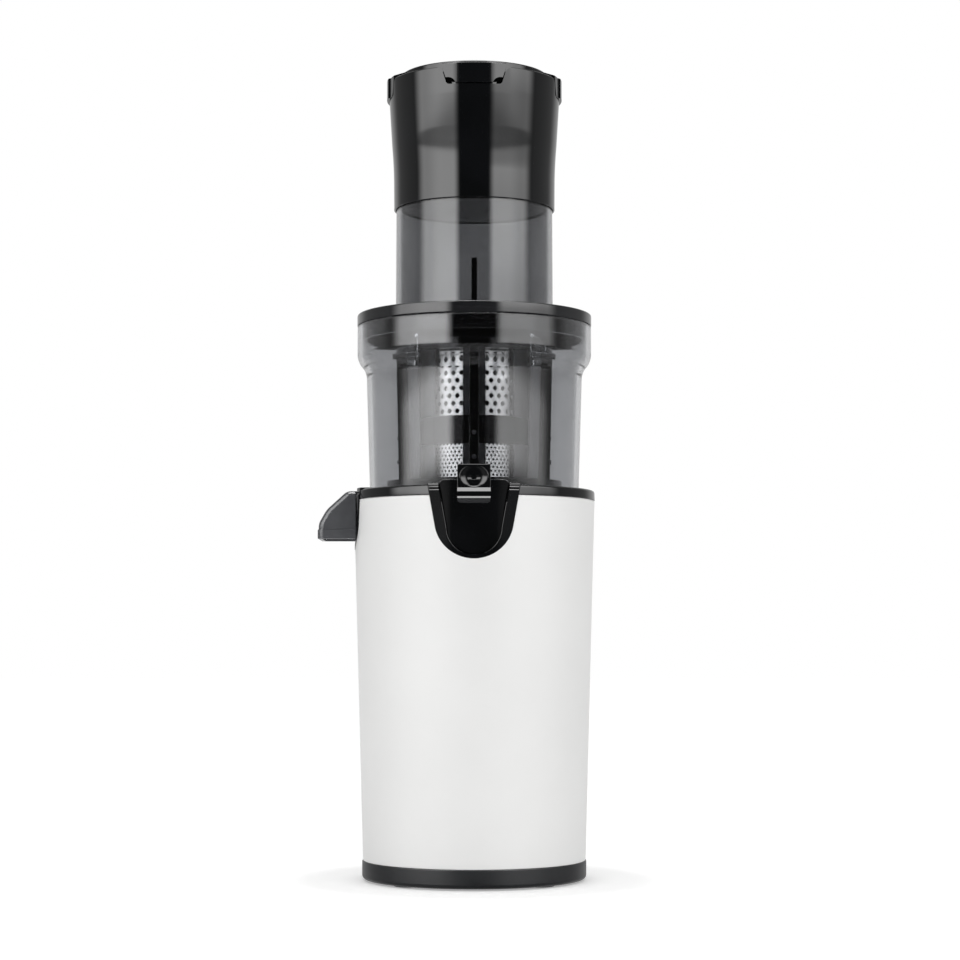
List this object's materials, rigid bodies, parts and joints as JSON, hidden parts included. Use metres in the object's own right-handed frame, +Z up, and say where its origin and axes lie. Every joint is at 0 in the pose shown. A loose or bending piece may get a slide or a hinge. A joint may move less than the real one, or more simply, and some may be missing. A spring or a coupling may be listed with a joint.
{
  "type": "cold press juicer",
  "caption": "Upright cold press juicer: tapered motor base, clear bowl with strainer, brush and auger, wide feed chute with collar and pusher, juice nozzle with flip cap.",
  "frame": {"origin": "on the floor under the drive axis, in the plane of the feet", "axes": "+Z up along the drive axis, -Y towards the juice nozzle, -X towards the pulp spout"},
  "size_m": [0.1502, 0.1465, 0.4394],
  "materials": {
    "white_shell": "satin white",
    "black_gloss": "polished black",
    "black_matte": "fine matte",
    "smoke_clear": "clear smoke grey",
    "screen_steel": "bright perforated sheet",
    "machined_steel": "machined",
    "case_alloy": "die cast",
    "gear_nylon": "natural nylon",
    "magnet_ferrite": "sintered",
    "copper_wire": "enamelled",
    "rubber_grey": "matte",
    "silicone_smoke": "matte",
    "board_green": "lacquered"
  },
  "bodies": {
    "base": {"bottom_tray": "black_matte", "foot_1": "rubber_grey", "foot_2": "rubber_grey", "foot_3": "rubber_grey", "foot_4": "rubber_grey", "housing": "white_shell", "deck": "black_gloss", "cord_gland": "black_matte", "switch_bezel": "black_matte", "control_board": "board_green", "safety_switch": "black_matte", "tray_screws": "machined_steel", "motor_cushion": "rubber_grey", "motor_can": "machined_steel", "motor_magnets": "magnet_ferrite", "motor_end_cap": "case_alloy", "motor_bearing_lower": "machined_steel", "motor_bearing_upper": "machined_steel", "gearbox_case": "case_alloy", "gearbox_cover": "case_alloy", "gearbox_screws": "machined_steel", "output_bearing": "machined_steel", "shaft_seal": "rubber_grey"},
    "rotor": {"motor_armature": "machined_steel", "motor_windings": "copper_wire", "motor_fan": "black_matte"},
    "layshaft_a": {"gear_cluster_a": "gear_nylon"},
    "layshaft_b": {"gear_cluster_b": "machined_steel"},
    "output": {"output_gear": "machined_steel", "drive_shaft": "machined_steel"},
    "rocker": {"rocker": "black_gloss"},
    "bowl_unit": {"bowl": "smoke_clear", "bowl_floor": "smoke_clear", "juice_outlet": "smoke_clear", "bowl_seal": "silicone_smoke", "spout_shield": "black_gloss", "cap_pin": "machined_steel", "pulp_spout": "black_gloss", "pulp_plug": "silicone_smoke", "strainer_frame": "black_matte", "coarse_screen": "screen_steel", "fine_screen": "screen_steel"},
    "cap": {"juice_cap": "black_gloss", "cap_seal": "silicone_smoke"},
    "idler": {"idler_gear": "gear_nylon"},
    "brush": {"brush_frame": "black_matte", "wiper_blades": "silicone_smoke"},
    "auger_unit": {"auger": "black_matte", "feed_fin": "black_matte"},
    "lid": {"hopper": "smoke_clear", "feed_chute": "smoke_clear", "chute_collar": "black_gloss"},
    "pusher_unit": {"pusher": "black_gloss"}
  },
  "joints": [
    {"name": "output_spin", "type": "hinge", "parent": "base", "child": "output", "pos_m": [0, 0, 0.15], "axis": [0, 0, 1], "continuous": true},
    {"name": "motor_spin", "type": "hinge", "parent": "base", "child": "rotor", "pos_m": [0, 0, 0.06], "axis": [0, 0, 1], "continuous": true},
    {"name": "layshaft_a_spin", "type": "hinge", "parent": "base", "child": "layshaft_a", "pos_m": [-0.02078, 0.012, 0.12], "axis": [0, 0, 1], "continuous": true},
    {"name": "layshaft_b_spin", "type": "hinge", "parent": "base", "child": "layshaft_b", "pos_m": [-0.02078, -0.012, 0.12], "axis": [0, 0, 1], "continuous": true},
    {"name": "rocker_tilt", "type": "hinge", "parent": "base", "child": "rocker", "pos_m": [0, 0.05771, 0.072], "axis": [1, 0, 0], "range_deg": [-7, 7]},
    {"name": "bowl_lift", "type": "slide", "parent": "base", "child": "bowl_unit", "axis": [0, 0, 1], "range_m": [0, 0.06]},
    {"name": "cap_flip", "type": "hinge", "parent": "bowl_unit", "child": "cap", "pos_m": [0, -0.073, 0.2172], "axis": [-1, 0, 0], "range_deg": [0, 90]},
    {"name": "auger_spin", "type": "hinge", "parent": "bowl_unit", "child": "auger_unit", "pos_m": [0, 0, 0.22], "axis": [0, 0, 1], "continuous": true},
    {"name": "idler_spin", "type": "hinge", "parent": "bowl_unit", "child": "idler", "pos_m": [0.013, 0.02252, 0.208], "axis": [0, 0, 1], "continuous": true},
    {"name": "brush_spin", "type": "hinge", "parent": "bowl_unit", "child": "brush", "pos_m": [0, 0, 0.208], "axis": [0, 0, 1], "continuous": true},
    {"name": "lid_twist", "type": "hinge", "parent": "bowl_unit", "child": "lid", "pos_m": [0, 0, 0.3], "axis": [0, 0, 1], "range_deg": [0, 30]},
    {"name": "pusher_lift", "type": "slide", "parent": "lid", "child": "pusher_unit", "axis": [0, 0, 1], "range_m": [0, 0.085]}
  ],
  "couplings": [
    {"joint": "motor_spin", "follows": "output_spin", "ratio": -27},
    {"joint": "layshaft_a_spin", "follows": "output_spin", "ratio": 9},
    {"joint": "layshaft_b_spin", "follows": "output_spin", "ratio": -3},
    {"joint": "auger_spin", "follows": "output_spin", "ratio": 1},
    {"joint": "idler_spin", "follows": "output_spin", "ratio": -1.6},
    {"joint": "brush_spin", "follows": "output_spin", "ratio": -0.44444}
  ]
}
